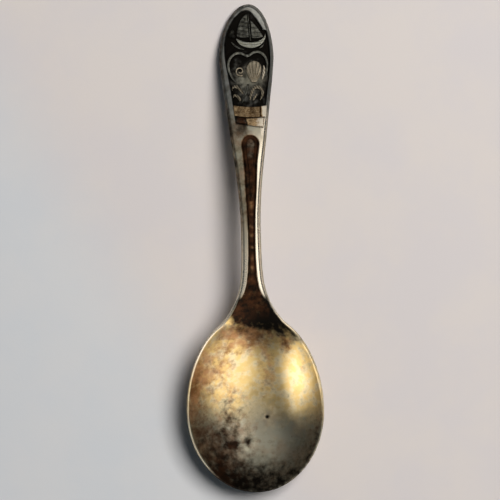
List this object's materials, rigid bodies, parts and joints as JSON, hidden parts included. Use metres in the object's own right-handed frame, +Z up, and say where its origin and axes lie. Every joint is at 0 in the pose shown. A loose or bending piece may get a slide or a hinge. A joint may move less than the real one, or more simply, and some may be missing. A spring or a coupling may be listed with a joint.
{
  "type": "souvenir spoon",
  "caption": "Short souvenir spoon with an egg-shaped bowl, a slim arched shank with a groove, and a rounded handle end with a struck picture.",
  "frame": {"origin": "middle of the spoon's length and width, on the table it lies on, bowl upwards", "axes": "+Y along the spoon from the bowl to the handle's tip, +Z up out of the bowl, +X across, to the right seen from above with the handle's tip away from the viewer"},
  "size_m": [0.031, 0.111, 0.0109],
  "materials": {
    "gilt_bowl": "worn gilt over brass, tarnished in spots",
    "handle_metal": "worn plate, bright on the rails, black in the sunk ground",
    "relief_metal": "oxidised silver plate, rubbed on top",
    "ribbon_metal": "brass worn through the plate"
  },
  "bodies": {
    "root": {"bowl": "gilt_bowl", "heel_drop": "gilt_bowl", "handle": "handle_metal", "groove_drop": "handle_metal", "name_ribbon": "ribbon_metal", "ribbon_tail": "ribbon_metal", "mast": "relief_metal", "sail_fore": "relief_metal", "sail_main": "relief_metal", "hull": "relief_metal", "waves": "relief_metal", "cloud": "relief_metal", "scroll_frame": "relief_metal", "scallop_shell": "relief_metal", "volute": "relief_metal", "plume": "relief_metal", "leaf_stem": "relief_metal", "leaf_left": "relief_metal", "leaf_right": "relief_metal"}
  },
  "joints": []
}
